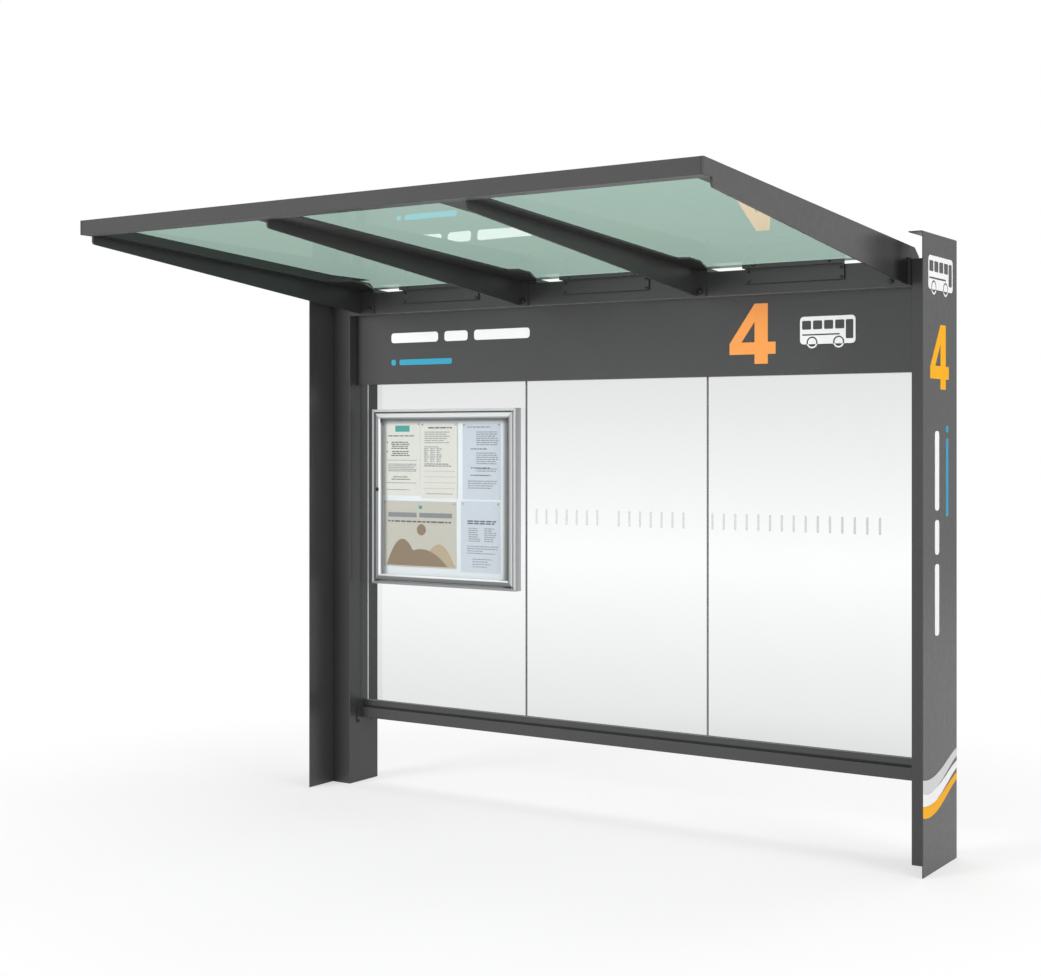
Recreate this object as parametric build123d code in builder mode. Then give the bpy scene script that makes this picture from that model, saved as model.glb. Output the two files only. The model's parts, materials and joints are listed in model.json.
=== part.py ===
"""Bus shelter: two posts, side plates, a cantilevered glass roof, a glass back wall,
a sign board and a lockable notice showcase with a hinged door.

Millimetres, +Z up, +X from the left post to the right post, -Y towards the road.
The origin is the centre of the left post's foot, on the ground.
"""
import os
from math import cos, radians, sin, tan

from build123d import *

os.makedirs("parts", exist_ok=True)

# ---------------------------------------------------------------- driving dimensions
span = 2960                 # between the inner faces of the two side plates

post_width = 103
post_depth = 212
post_height = 2313
post_wall = 4
post_lip = 25               # returned edges of the open outer side of each post
post_corner = 3
cap_thickness = 3
foot_thickness = 12
anchor_pitch_x = 50
anchor_pitch_y = 140
anchor_radius = 9

plate_height = 2400
plate_thickness = 4
plate_projection = 168      # how far the side plates reach in front of the posts
plate_rear_setback = 7      # of their rear edges from the posts' rear face
plate_return = 53           # inward fold at the top of each side plate
plate_bend = 6

beam_height = 102
beam_depth = 140
beam_wall = 5
beam_corner = 4

sign_height = 326
sign_depth = 40
sign_wall = 3
sign_setback = 53           # from the posts' front face to the sign's face
sign_end_gap = 4

wall_glass_width = 900
wall_glass_thickness = 8.8
wall_glass_joint = 5
glass_slot_clearance = 2    # each side of a pane inside its channels

rail_bottom = 304
rail_height = 50
rail_depth = 60
rail_wall = 3
rail_corner = 4
rail_bracket_thickness = 4
rail_bracket_height = 100
rail_bracket_depth = 116
rail_bracket_drop = 24      # how far the brackets hang below the rail
rail_bracket_corner = 22
sill_foot_height = 8
sill_foot_width = 16
sill_width = 24
sill_height = 23
sill_floor = 6
head_width = 30
head_height = 25
head_top_gap = 3            # above the panes, inside the head channel
head_cover = 17             # how far the panes reach into the head channel

roof_pitch = 3.32           # degrees, rising towards the road
roof_rear_rise = 53         # of the end rafters' top above the posts, where their rear chamfer starts
roof_rear_setback = 66      # of that point behind the posts' front face
roof_reach = 1707           # from the posts' front face to the fascia's face
roof_shift = 24             # the roof stands this far to the right of the posts' middle
roof_width = 2684           # over the end rafters' outer faces
inner_rafter_pitch = 872
rafter_web = 8
rafter_root = 153           # depth of an end rafter's web at the beam, below the roof line
rafter_tip = 82             # its depth just behind the fascia
rafter_chamfer_run = 47
rafter_chamfer_drop = 32
rafter_corner = 12          # rounding of a web's lower front corner

glass_seat_depth = 40       # from the roof line down to the top of the flanges
flange_thickness = 8
flange_lap = 40             # of the flanges over the fascia's fold
end_flange = 50             # from an end rafter's web inwards
inner_flange_inward = 120   # from an inner rafter's middle towards the roof's middle
inner_flange_outward = 60
inner_saddle_inward = 88    # the inner rafters' saddles and flanges over the beam
inner_saddle_outward = 50
end_gusset = 170            # from an end rafter's web inwards
inner_gusset_flare = 50     # the gussets' reach beyond the inner flanges' edges
gusset_start = 290          # distances in front of the beam
gusset_full = 275
gusset_end = 180

end_plate_thickness = 8
end_plate_width = 86
end_rafter_plate_inward = 90
end_rafter_plate_outward = 10
end_plate_hang = 4          # of the end plates below the rafters' webs
end_plate_hole = 7
end_plate_hole_edge = 22

fascia_thickness = 4
fascia_return = 58
fascia_gap = 0.3            # between the fascia's fold and the rafters

roof_glass_thickness = 10
roof_glass_lap = 33         # of the panes' rear edges over the beam
roof_glass_front_gap = 6
roof_glass_side_gap = 5
roof_glass_joint = 10

bracket_length = 425
bracket_ledge = 35          # reach and thickness of the part under the pane
bracket_ledge_thickness = 16
bracket_height = 75
bracket_thickness = 8
bracket_top_gap = 0.4       # under the panes

case_width = 814
case_height = 820
case_depth = 44
case_left = 84              # from the left post's inner face
case_drop = 118             # from the sign's lower edge down to the case's top
case_rim = 12
case_rim_depth = 16
case_wall = 3
case_back = 2
board_thickness = 4
door_gap = 5
door_frame = 28
door_depth = 18
door_lip = 12               # thickness of the frame in front of the pane
door_rebate = 6             # how far the pane reaches behind the frame
door_edge_radius = 6
door_bevel_width = 7        # round the opening, on the frame's front
door_bevel_depth = 4
pane_thickness = 4
pane_clearance = 0.3
hinge_inset = 6             # hinge axis from the door's edge and from its face
hinge_radius = 2.5
hinge_clearance = 0.05
hinge_in_rim = 8
hinge_in_door = 10
hinge_end_gap = 0.3
lock_radius = 6
lock_clearance = 0.05
lock_head = 1.5             # how far the lock stands proud of the frame
lock_height = 444           # above the case's underside
lock_cam_width = 12
lock_cam_length = 32
lock_cam_thickness = 3

# ---------------------------------------------------------------- places worked out from them
right_post_x = span - post_width
bay_left = post_width / 2                       # inner face of the left post
bay_right = right_post_x - post_width / 2       # inner face of the right post
bay_width = bay_right - bay_left
bay_middle = (bay_left + bay_right) / 2
front = -post_depth / 2                         # the posts' front face

beam_bottom = post_height - beam_height
glass_middle_y = wall_glass_thickness / 2       # the wall panes' front face is at y = 0

posts = (("left", 0, -1), ("right", right_post_x, 1))

# ---------------------------------------------------------------- posts, feet, caps, side plates
for side, post_x, outward in posts:
    with BuildPart() as foot_plate:
        with BuildSketch(Plane.XY):
            with Locations((post_x, 0)):
                Rectangle(post_width - 2 * post_wall, post_depth - 2 * post_wall)
            with Locations((post_x, 0)):
                with GridLocations(anchor_pitch_x, anchor_pitch_y, 2, 2):
                    Circle(anchor_radius, mode=Mode.SUBTRACT)
        extrude(amount=foot_thickness)
    foot_plate.part.label = f"{side}_foot_plate"
    export_step(foot_plate.part, f"parts/{side}_foot_plate.step")

    with BuildPart() as post:
        with BuildSketch(Plane.XY):
            with Locations((post_x, 0)):
                RectangleRounded(post_width, post_depth, post_corner)
                Rectangle(post_width - 2 * post_wall, post_depth - 2 * post_wall, mode=Mode.SUBTRACT)
            with Locations((post_x + outward * (post_width - post_wall) / 2, 0)):
                Rectangle(post_wall, post_depth - 2 * post_lip, mode=Mode.SUBTRACT)
        extrude(amount=post_height)
    post.part.label = f"{side}_post"
    export_step(post.part, f"parts/{side}_post.step")

    with BuildPart() as post_cap:
        with BuildSketch(Plane.XY.offset(post_height)):
            with Locations((post_x, 0)):
                RectangleRounded(post_width, post_depth, post_corner)
        extrude(amount=cap_thickness)
    post_cap.part.label = f"{side}_post_cap"
    export_step(post_cap.part, f"parts/{side}_post_cap.step")

    plate_face_x = post_x + outward * post_width / 2
    with BuildPart() as side_plate:
        with BuildSketch(Plane.XZ.offset(front + plate_rear_setback)):
            with Locations((plate_face_x + outward * plate_thickness / 2, plate_height / 2)):
                Rectangle(plate_thickness, plate_height)
            fold_x = plate_face_x + outward * (plate_thickness - plate_return) / 2
            with Locations((fold_x, plate_height - plate_thickness / 2)):
                Rectangle(plate_return + plate_thickness, plate_thickness)
        extrude(amount=post_depth + plate_projection - plate_rear_setback)
        top_edges = side_plate.edges().filter_by(Axis.Y).group_by(Axis.Z)[-1]
        fillet(top_edges.sort_by(Axis.X)[0 if outward < 0 else -1], plate_bend)
    side_plate.part.label = f"{side}_side_plate"
    export_step(side_plate.part, f"parts/{side}_side_plate.step")

# ---------------------------------------------------------------- beam and sign board
with BuildPart() as top_beam:
    with BuildSketch(Plane.YZ.offset(bay_left)):
        with Locations((front + beam_depth / 2, beam_bottom + beam_height / 2)):
            RectangleRounded(beam_depth, beam_height, beam_corner)
            Rectangle(beam_depth - 2 * beam_wall, beam_height - 2 * beam_wall, mode=Mode.SUBTRACT)
    extrude(amount=bay_width)
top_beam.part.label = "top_beam"
export_step(top_beam.part, "parts/top_beam.step")

sign_width = bay_width - 2 * sign_end_gap
sign_back = front + sign_setback + sign_depth
with BuildPart() as sign_panel:
    with BuildSketch(Plane.XZ.offset(-sign_back)):
        with Locations((bay_middle, beam_bottom - sign_height / 2)):
            Rectangle(sign_width, sign_height)
    extrude(amount=sign_depth)
    with BuildSketch(Plane.XZ.offset(-sign_back)):
        with Locations((bay_middle, beam_bottom - sign_height / 2)):
            Rectangle(sign_width - 2 * sign_wall, sign_height - 2 * sign_wall)
    extrude(amount=sign_depth - sign_wall, mode=Mode.SUBTRACT)
sign_panel.part.label = "sign_panel"
export_step(sign_panel.part, "parts/sign_panel.step")

# ---------------------------------------------------------------- back wall: rail, channels, panes
rail_top = rail_bottom + rail_height
rail_left = bay_left + rail_bracket_thickness
rail_length = bay_width - 2 * rail_bracket_thickness

for side, face_x, inward in (("left", bay_left, 1), ("right", bay_right, -1)):
    with BuildPart() as rail_bracket:
        with BuildSketch(Plane.YZ.offset(face_x)):
            with Locations((glass_middle_y, rail_bottom - rail_bracket_drop + rail_bracket_height / 2)):
                outline = Rectangle(rail_bracket_depth, rail_bracket_height)
            fillet(outline.vertices().group_by(Axis.Y)[-1], rail_bracket_corner)
        extrude(amount=inward * rail_bracket_thickness)
    rail_bracket.part.label = f"{side}_rail_bracket"
    export_step(rail_bracket.part, f"parts/{side}_rail_bracket.step")

with BuildPart() as bottom_rail:
    with BuildSketch(Plane.YZ.offset(rail_left)):
        with Locations((glass_middle_y, rail_bottom + rail_height / 2)):
            RectangleRounded(rail_depth, rail_height, rail_corner)
            Rectangle(rail_depth - 2 * rail_wall, rail_height - 2 * rail_wall, mode=Mode.SUBTRACT)
    extrude(amount=rail_length)
bottom_rail.part.label = "bottom_rail"
export_step(bottom_rail.part, "parts/bottom_rail.step")

slot_width = wall_glass_thickness + 2 * glass_slot_clearance
sill_bottom = rail_top + sill_foot_height
glass_bottom = sill_bottom + sill_floor
with BuildPart() as sill_channel:
    with BuildSketch(Plane.YZ.offset(rail_left)):
        with Locations((glass_middle_y, rail_top + sill_foot_height / 2)):
            Rectangle(sill_foot_width, sill_foot_height)
        with Locations((glass_middle_y, sill_bottom + sill_height / 2)):
            Rectangle(sill_width, sill_height)
        with Locations((glass_middle_y, glass_bottom + (sill_height - sill_floor) / 2)):
            Rectangle(slot_width, sill_height - sill_floor, mode=Mode.SUBTRACT)
    extrude(amount=rail_length)
sill_channel.part.label = "sill_channel"
export_step(sill_channel.part, "parts/sill_channel.step")

head_bottom = beam_bottom - head_height
glass_top = head_bottom + head_cover
with BuildPart() as head_channel:
    with BuildSketch(Plane.YZ.offset(bay_left)):
        with Locations((glass_middle_y, head_bottom + head_height / 2)):
            Rectangle(head_width, head_height)
        with Locations((glass_middle_y, head_bottom + (head_cover + head_top_gap) / 2)):
            Rectangle(slot_width, head_cover + head_top_gap, mode=Mode.SUBTRACT)
    extrude(amount=bay_width)
head_channel.part.label = "head_channel"
export_step(head_channel.part, "parts/head_channel.step")

wall_pane_pitch = wall_glass_width + wall_glass_joint
for index, place in enumerate(("left", "middle", "right")):
    pane_middle = bay_middle + (index - 1) * wall_pane_pitch
    with BuildPart() as wall_glass:
        with BuildSketch(Plane.XZ.offset(-wall_glass_thickness)):
            with Locations((pane_middle, (glass_bottom + glass_top) / 2)):
                Rectangle(wall_glass_width, glass_top - glass_bottom)
        extrude(amount=wall_glass_thickness)
    wall_glass.part.label = f"wall_glass_{place}"
    export_step(wall_glass.part, f"parts/wall_glass_{place}.step")

# ---------------------------------------------------------------- roof: rafters, fascia, panes, brackets
slope = tan(radians(roof_pitch))
roof_rear_y = front + roof_rear_setback
roof_rear_height = post_height + roof_rear_rise
roof_front_y = front - roof_reach
web_front_y = roof_front_y + fascia_return


def roof_line(y):
    """Height of the end rafters' top edge."""
    return roof_rear_height + (roof_rear_y - y) * slope


def roof_plane(x, drop):
    """Sloping plane, drop below the roof line; its local y runs down to the rear."""
    return Plane(
        origin=(x, roof_rear_y, roof_rear_height - drop),
        x_dir=(1, 0, 0),
        z_dir=(0, sin(radians(roof_pitch)), cos(radians(roof_pitch))),
    )


def along_roof(y):
    """Local y on a roof plane of the point at y."""
    return (y - roof_rear_y) / cos(radians(roof_pitch))


saddle_top = post_height + end_plate_thickness
web_rear_y = front - end_plate_thickness
saddle_rear_y = roof_rear_y + rafter_chamfer_run
web_root_z = roof_line(front) - rafter_root
web_tip_z = roof_line(web_front_y) - rafter_tip
end_plate_bottom = web_root_z - end_plate_hang
flange_drop = glass_seat_depth + flange_thickness
fascia_bottom = roof_line(web_front_y) - flange_drop - fascia_gap - fascia_thickness
fascia_height = roof_line(roof_front_y) - fascia_bottom

roof_middle = bay_middle + roof_shift
roof_left = roof_middle - roof_width / 2
roof_right = roof_middle + roof_width / 2


def flange_side(reach, gusset_reach, saddle_reach):
    """Outer corners of one side of a rafter's flange, from its front end to the saddle."""
    return [
        (reach, along_roof(web_front_y - flange_lap)),
        (reach, along_roof(front - gusset_start)),
        (gusset_reach, along_roof(front - gusset_full)),
        (gusset_reach, along_roof(front - gusset_end)),
        (saddle_reach, along_roof(front)),
        (saddle_reach, along_roof(saddle_rear_y)),
    ]


for side, web_x, inward in (("left", roof_left, 1), ("right", roof_right, -1)):
    with BuildPart() as end_rafter:
        with BuildSketch(Plane.YZ.offset(web_x)) as web:
            with BuildLine():
                Polyline(
                    (roof_front_y, roof_line(roof_front_y)),
                    (roof_rear_y, roof_rear_height),
                    (saddle_rear_y, roof_rear_height - rafter_chamfer_drop),
                    (saddle_rear_y, saddle_top),
                    (web_rear_y, saddle_top),
                    (web_rear_y, web_root_z),
                    (web_front_y, web_tip_z),
                    (web_front_y, fascia_bottom),
                    (roof_front_y, fascia_bottom),
                    close=True,
                )
            make_face()
            fillet(web.vertices().group_by(Axis.X)[1].sort_by(Axis.Y)[0], rafter_corner)
        extrude(amount=inward * rafter_web)
        with BuildSketch(Plane.XY.offset(post_height)):
            plate_middle_x = web_x + inward * (end_rafter_plate_inward - end_rafter_plate_outward) / 2
            with Locations((plate_middle_x, (web_rear_y + saddle_rear_y) / 2)):
                Rectangle(end_rafter_plate_inward + end_rafter_plate_outward, saddle_rear_y - web_rear_y)
        extrude(amount=end_plate_thickness)
        with BuildSketch(Plane.XZ.offset(-front)):
            with Locations((plate_middle_x, (end_plate_bottom + saddle_top) / 2)):
                Rectangle(end_rafter_plate_inward + end_rafter_plate_outward, saddle_top - end_plate_bottom)
            hole_x = web_x + inward * (end_rafter_plate_inward - end_plate_hole_edge)
            with Locations((hole_x, end_plate_bottom + end_plate_hole_edge)):
                Circle(end_plate_hole, mode=Mode.SUBTRACT)
        extrude(amount=end_plate_thickness)
        with BuildSketch(roof_plane(web_x, glass_seat_depth)):
            inner_side = flange_side(
                rafter_web + end_flange,
                rafter_web + end_gusset,
                end_rafter_plate_inward,
            )
            with BuildLine():
                Polyline(
                    (0, along_roof(web_front_y - flange_lap)),
                    *[(inward * reach, place) for reach, place in inner_side],
                    (0, along_roof(saddle_rear_y)),
                    close=True,
                )
            make_face()
        extrude(amount=-flange_thickness)
    end_rafter.part.label = f"{side}_end_rafter"
    export_step(end_rafter.part, f"parts/{side}_end_rafter.step")

left_rafter_x = roof_middle - inner_rafter_pitch / 2
right_rafter_x = roof_middle + inner_rafter_pitch / 2

for side, rafter_x, inward in (("left", left_rafter_x, 1), ("right", right_rafter_x, -1)):
    with BuildPart() as inner_rafter:
        with BuildSketch(Plane.YZ.offset(rafter_x - rafter_web / 2)) as web:
            with BuildLine():
                Polyline(
                    (web_front_y, roof_line(web_front_y) - flange_drop),
                    (saddle_rear_y, roof_line(saddle_rear_y) - flange_drop),
                    (saddle_rear_y, post_height),
                    (web_rear_y, post_height),
                    (web_rear_y, web_root_z),
                    (web_front_y, web_tip_z),
                    close=True,
                )
            make_face()
            fillet(web.vertices().group_by(Axis.X)[0].sort_by(Axis.Y)[0], rafter_corner)
        extrude(amount=rafter_web)
        with BuildSketch(Plane.XY.offset(post_height)):
            saddle_middle_x = rafter_x + inward * (inner_saddle_inward - inner_saddle_outward) / 2
            with Locations((saddle_middle_x, (web_rear_y + saddle_rear_y) / 2)):
                Rectangle(inner_saddle_inward + inner_saddle_outward, saddle_rear_y - web_rear_y)
        extrude(amount=end_plate_thickness)
        with BuildSketch(Plane.XZ.offset(-front)):
            with Locations((rafter_x, (end_plate_bottom + saddle_top) / 2)):
                Rectangle(end_plate_width, saddle_top - end_plate_bottom)
            with Locations((rafter_x, end_plate_bottom + end_plate_hole_edge)):
                with GridLocations(end_plate_width - 2 * end_plate_hole_edge, 1, 2, 1):
                    Circle(end_plate_hole, mode=Mode.SUBTRACT)
        extrude(amount=end_plate_thickness)
        with BuildSketch(roof_plane(rafter_x, glass_seat_depth)):
            inner_side = flange_side(
                inner_flange_inward,
                inner_flange_inward + inner_gusset_flare,
                inner_saddle_inward,
            )
            outer_side = flange_side(
                inner_flange_outward,
                inner_flange_outward + inner_gusset_flare,
                inner_saddle_outward,
            )
            with BuildLine():
                Polyline(
                    *[(inward * reach, place) for reach, place in inner_side],
                    *[(-inward * reach, place) for reach, place in reversed(outer_side)],
                    close=True,
                )
            make_face()
        extrude(amount=-flange_thickness)
    inner_rafter.part.label = f"{side}_inner_rafter"
    export_step(inner_rafter.part, f"parts/{side}_inner_rafter.step")

with BuildPart() as front_fascia:
    with BuildSketch(Plane.YZ.offset(roof_left + rafter_web)):
        with Locations((roof_front_y + fascia_thickness / 2, fascia_bottom + fascia_height / 2)):
            Rectangle(fascia_thickness, fascia_height)
        with Locations((roof_front_y + fascia_return / 2, fascia_bottom + fascia_thickness / 2)):
            Rectangle(fascia_return, fascia_thickness)
    extrude(amount=roof_width - 2 * rafter_web)
front_fascia.part.label = "front_fascia"
export_step(front_fascia.part, "parts/front_fascia.step")

# a joint between panes lies over the middle of an inner rafter's flange
joint_shift = (inner_flange_inward - inner_flange_outward) / 2
left_joint_x = left_rafter_x + joint_shift
right_joint_x = right_rafter_x - joint_shift
glass_margin = rafter_web + roof_glass_side_gap
roof_glass_edges = (
    ("left", roof_left + glass_margin, left_joint_x - roof_glass_joint / 2),
    ("middle", left_joint_x + roof_glass_joint / 2, right_joint_x - roof_glass_joint / 2),
    ("right", right_joint_x + roof_glass_joint / 2, roof_right - glass_margin),
)
pane_front = along_roof(roof_front_y + fascia_thickness + roof_glass_front_gap)
pane_rear = along_roof(front + roof_glass_lap)
for place, left_edge, right_edge in roof_glass_edges:
    with BuildPart() as roof_glass:
        with BuildSketch(roof_plane((left_edge + right_edge) / 2, glass_seat_depth)):
            with Locations((0, (pane_front + pane_rear) / 2)):
                Rectangle(right_edge - left_edge, pane_rear - pane_front)
        extrude(amount=roof_glass_thickness)
    roof_glass.part.label = f"roof_glass_{place}"
    export_step(roof_glass.part, f"parts/roof_glass_{place}.step")

bracket_top = roof_line(front) - glass_seat_depth - bracket_top_gap
for place, left_edge, right_edge in roof_glass_edges:
    with BuildPart() as glass_bracket:
        with BuildSketch(Plane.YZ.offset((left_edge + right_edge - bracket_length) / 2)):
            with Locations((front - bracket_ledge / 2, bracket_top - bracket_ledge_thickness / 2)):
                Rectangle(bracket_ledge, bracket_ledge_thickness)
            with Locations((front - bracket_thickness / 2, bracket_top - bracket_height / 2)):
                Rectangle(bracket_thickness, bracket_height)
        extrude(amount=bracket_length)
    glass_bracket.part.label = f"glass_bracket_{place}"
    export_step(glass_bracket.part, f"parts/glass_bracket_{place}.step")

# ---------------------------------------------------------------- notice showcase
case_bottom = beam_bottom - sign_height - case_drop - case_height
case_middle_x = bay_left + case_left + case_width / 2
case_middle_z = case_bottom + case_height / 2
case_front_y = -case_depth
door_width = case_width - 2 * case_rim - 2 * door_gap
door_height = case_height - 2 * case_rim - 2 * door_gap
hinge_x = case_middle_x + door_width / 2 - hinge_inset
hinge_y = case_front_y + hinge_inset
door_top = case_middle_z + door_height / 2
door_bottom = case_middle_z - door_height / 2


def facing_road(y):
    """Upright plane at y through the showcase's middle, facing the road."""
    return Plane(origin=(case_middle_x, y, case_middle_z), x_dir=(1, 0, 0), z_dir=(0, -1, 0))


with BuildPart() as showcase_case:
    with BuildSketch(facing_road(0)):
        Rectangle(case_width, case_height)
    extrude(amount=case_depth)
    with BuildSketch(facing_road(-case_back)):
        Rectangle(case_width - 2 * case_wall, case_height - 2 * case_wall)
    extrude(amount=case_depth - case_back - case_rim_depth, mode=Mode.SUBTRACT)
    with BuildSketch(facing_road(-case_depth)):
        Rectangle(case_width - 2 * case_rim, case_height - 2 * case_rim)
    extrude(amount=-case_rim_depth, mode=Mode.SUBTRACT)
    with BuildSketch(Plane.XY.offset(door_bottom - door_gap - hinge_in_rim)):
        with Locations((hinge_x, hinge_y)):
            Circle(hinge_radius)
    extrude(amount=door_height + 2 * (door_gap + hinge_in_rim), mode=Mode.SUBTRACT)
showcase_case.part.label = "showcase_case"
export_step(showcase_case.part, "parts/showcase_case.step")

with BuildPart() as showcase_board:
    with BuildSketch(facing_road(-case_back)):
        Rectangle(case_width - 2 * case_wall, case_height - 2 * case_wall)
    extrude(amount=board_thickness)
showcase_board.part.label = "showcase_board"
export_step(showcase_board.part, "parts/showcase_board.step")

with BuildPart() as showcase_door_frame:
    with BuildSketch(facing_road(case_front_y + door_depth)):
        Rectangle(door_width, door_height)
    extrude(amount=door_depth)
    outer_front = showcase_door_frame.faces().sort_by(Axis.Y)[0].edges()
    fillet(outer_front, door_edge_radius)
    with BuildSketch(facing_road(case_front_y)):
        Rectangle(door_width - 2 * door_frame, door_height - 2 * door_frame)
    extrude(amount=-door_depth, mode=Mode.SUBTRACT)
    front = showcase_door_frame.faces().sort_by(Axis.Y)[0]
    opening_edges = front.inner_wires()[0].edges()
    chamfer(opening_edges, door_bevel_width, door_bevel_depth, reference=front)
    rebate_inset = door_frame - door_rebate - pane_clearance
    with BuildSketch(facing_road(case_front_y + door_lip)):
        Rectangle(door_width - 2 * rebate_inset, door_height - 2 * rebate_inset)
    extrude(amount=door_lip - door_depth, mode=Mode.SUBTRACT)
    for hole_z in (door_bottom, door_top - hinge_in_door):
        with BuildSketch(Plane.XY.offset(hole_z)):
            with Locations((hinge_x, hinge_y)):
                Circle(hinge_radius + hinge_clearance)
        extrude(amount=hinge_in_door, mode=Mode.SUBTRACT)
    lock_x = case_middle_x - door_width / 2 + door_frame / 2
    lock_z = case_bottom + lock_height
    with BuildSketch(Plane.XZ.offset(-case_front_y)):
        with Locations((lock_x, lock_z)):
            Circle(lock_radius + lock_clearance)
    extrude(amount=-door_depth, mode=Mode.SUBTRACT)
showcase_door_frame.part.label = "showcase_door_frame"
export_step(showcase_door_frame.part, "parts/showcase_door_frame.step")

with BuildPart() as showcase_door_pane:
    with BuildSketch(facing_road(case_front_y + door_lip)):
        pane_inset = door_frame - door_rebate
        Rectangle(door_width - 2 * pane_inset, door_height - 2 * pane_inset)
    extrude(amount=-pane_thickness)
showcase_door_pane.part.label = "showcase_door_pane"
export_step(showcase_door_pane.part, "parts/showcase_door_pane.step")

with BuildPart() as showcase_lock:
    with BuildSketch(Plane.XZ.offset(lock_head - case_front_y)):
        with Locations((lock_x, lock_z)):
            Circle(lock_radius)
    extrude(amount=-(lock_head + door_depth))
    with BuildSketch(Plane.XZ.offset(-case_front_y - door_depth)):
        with Locations((lock_x, lock_z - (lock_cam_length - lock_cam_width) / 2)):
            SlotOverall(lock_cam_length, lock_cam_width, rotation=90)
    extrude(amount=-lock_cam_thickness)
showcase_lock.part.label = "showcase_lock"
export_step(showcase_lock.part, "parts/showcase_lock.step")

with BuildPart() as showcase_hinge_pins:
    pin_length = hinge_in_rim + door_gap + hinge_in_door - hinge_end_gap
    lower_pin_bottom = door_bottom - door_gap - hinge_in_rim
    upper_pin_bottom = door_top + door_gap + hinge_in_rim - pin_length
    for pin_bottom in (lower_pin_bottom, upper_pin_bottom):
        with BuildSketch(Plane.XY.offset(pin_bottom)):
            with Locations((hinge_x, hinge_y)):
                Circle(hinge_radius)
        extrude(amount=pin_length)
showcase_hinge_pins.part.label = "showcase_hinge_pins"
export_step(showcase_hinge_pins.part, "parts/showcase_hinge_pins.step")
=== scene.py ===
"""Looks for the bus shelter: materials, bolts, seals, graphics, notices, studio and camera."""
import json
import math
import random
from itertools import product

import bmesh
import bpy
from mathutils import Matrix, Vector


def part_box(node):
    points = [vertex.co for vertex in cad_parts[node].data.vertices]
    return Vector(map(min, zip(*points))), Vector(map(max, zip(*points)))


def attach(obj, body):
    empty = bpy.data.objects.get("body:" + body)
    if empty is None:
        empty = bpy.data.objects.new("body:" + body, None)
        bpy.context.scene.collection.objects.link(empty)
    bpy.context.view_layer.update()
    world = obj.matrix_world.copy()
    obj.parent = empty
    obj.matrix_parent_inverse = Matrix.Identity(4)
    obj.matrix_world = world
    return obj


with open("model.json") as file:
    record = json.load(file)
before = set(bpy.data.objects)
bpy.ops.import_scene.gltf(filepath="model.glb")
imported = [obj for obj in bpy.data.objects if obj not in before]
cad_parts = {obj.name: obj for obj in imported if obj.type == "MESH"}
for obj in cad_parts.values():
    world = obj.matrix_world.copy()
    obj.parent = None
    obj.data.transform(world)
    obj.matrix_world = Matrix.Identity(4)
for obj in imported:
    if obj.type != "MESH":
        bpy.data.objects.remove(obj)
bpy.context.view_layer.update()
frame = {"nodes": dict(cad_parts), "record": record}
nodes = frame["nodes"]

SHELTER = "shelter"
DOOR = "showcase_door"

# ---------------------------------------------------------------- camera: level, at eye height
CAMERA_PLACE = (5.0794, -6.2674, 1.6233)
CAMERA_TURN = 0.5829        # radians to the left of straight at the shelter
CAMERA_LENS = 57.91         # millimetres, over a sensor of CAMERA_SENSOR
CAMERA_SENSOR = 36
CAMERA_SHIFT = -0.0461      # moves the frame down and keeps uprights upright

camera_data = bpy.data.cameras.new("camera")
camera_data.sensor_fit = "HORIZONTAL"
camera_data.sensor_width = CAMERA_SENSOR
camera_data.lens = CAMERA_LENS
camera_data.shift_y = CAMERA_SHIFT
camera_data.clip_end = 200
camera = bpy.data.objects.new("camera", camera_data)
camera.location = CAMERA_PLACE
camera.rotation_euler = (math.pi / 2, 0, CAMERA_TURN)
bpy.context.scene.collection.objects.link(camera)
bpy.context.scene.camera = camera

# ---------------------------------------------------------------- places taken from the frame
PLACES = ("left", "middle", "right")
post_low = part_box("left_post")[0]
plate_low, plate_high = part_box("right_side_plate")
sign_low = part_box("sign_panel")[0]
beam_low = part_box("top_beam")[0]
fascia_low, fascia_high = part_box("front_fascia")
case_low, case_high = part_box("showcase_case")
board_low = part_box("showcase_board")[0]
door_low, door_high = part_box("showcase_door_frame")
lock_low, lock_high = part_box("showcase_lock")
sill_low, sill_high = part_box("sill_channel")
head_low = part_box("head_channel")[0]
wall_panes = [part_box("wall_glass_" + place) for place in PLACES]
roof_panes = [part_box("roof_glass_" + place) for place in PLACES]
brackets = [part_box("glass_bracket_" + place) for place in PLACES]
rail_brackets = [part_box(side + "_rail_bracket") for side in ("left", "right")]

# sizes of the frame's pieces that their boxes don't give
ROOF_SLOPE = math.tan(math.radians(3.32))
ROOF_GLASS = 0.010          # thickness of the roof panes
RAFTER_WEB = 0.008          # thickness of a rafter's web
INNER_RAFTER_SHIFT = 0.436  # of the inner rafters' webs from the roof's middle
END_PLATE = 0.008           # thickness of the rafters' end plates
END_PLATE_WIDTH = 0.090     # width of the two outer ones
END_PLATE_BOTTOM = 2.2125   # height of the end plates' lower edges
BRACKET_PLATE = 0.008       # thickness of a glass bracket's upright
DOOR_FRAME = 0.028          # width of the door frame's members
DOOR_LIP = 0.012            # their thickness in front of the pane
BEVEL_WIDTH = 0.007         # the bevel round the door's opening
BEVEL_DEPTH = 0.004
roof_left, roof_right = fascia_low.x - RAFTER_WEB, fascia_high.x + RAFTER_WEB
roof_middle = (roof_left + roof_right) / 2
web_middles = (
    roof_left + RAFTER_WEB / 2,
    roof_middle - INNER_RAFTER_SHIFT,
    roof_middle + INNER_RAFTER_SHIFT,
    roof_right - RAFTER_WEB / 2,
)
opening_left, opening_right = door_low.x + DOOR_FRAME, door_high.x - DOOR_FRAME
opening_bottom, opening_top = door_low.z + DOOR_FRAME, door_high.z - DOOR_FRAME


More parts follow.
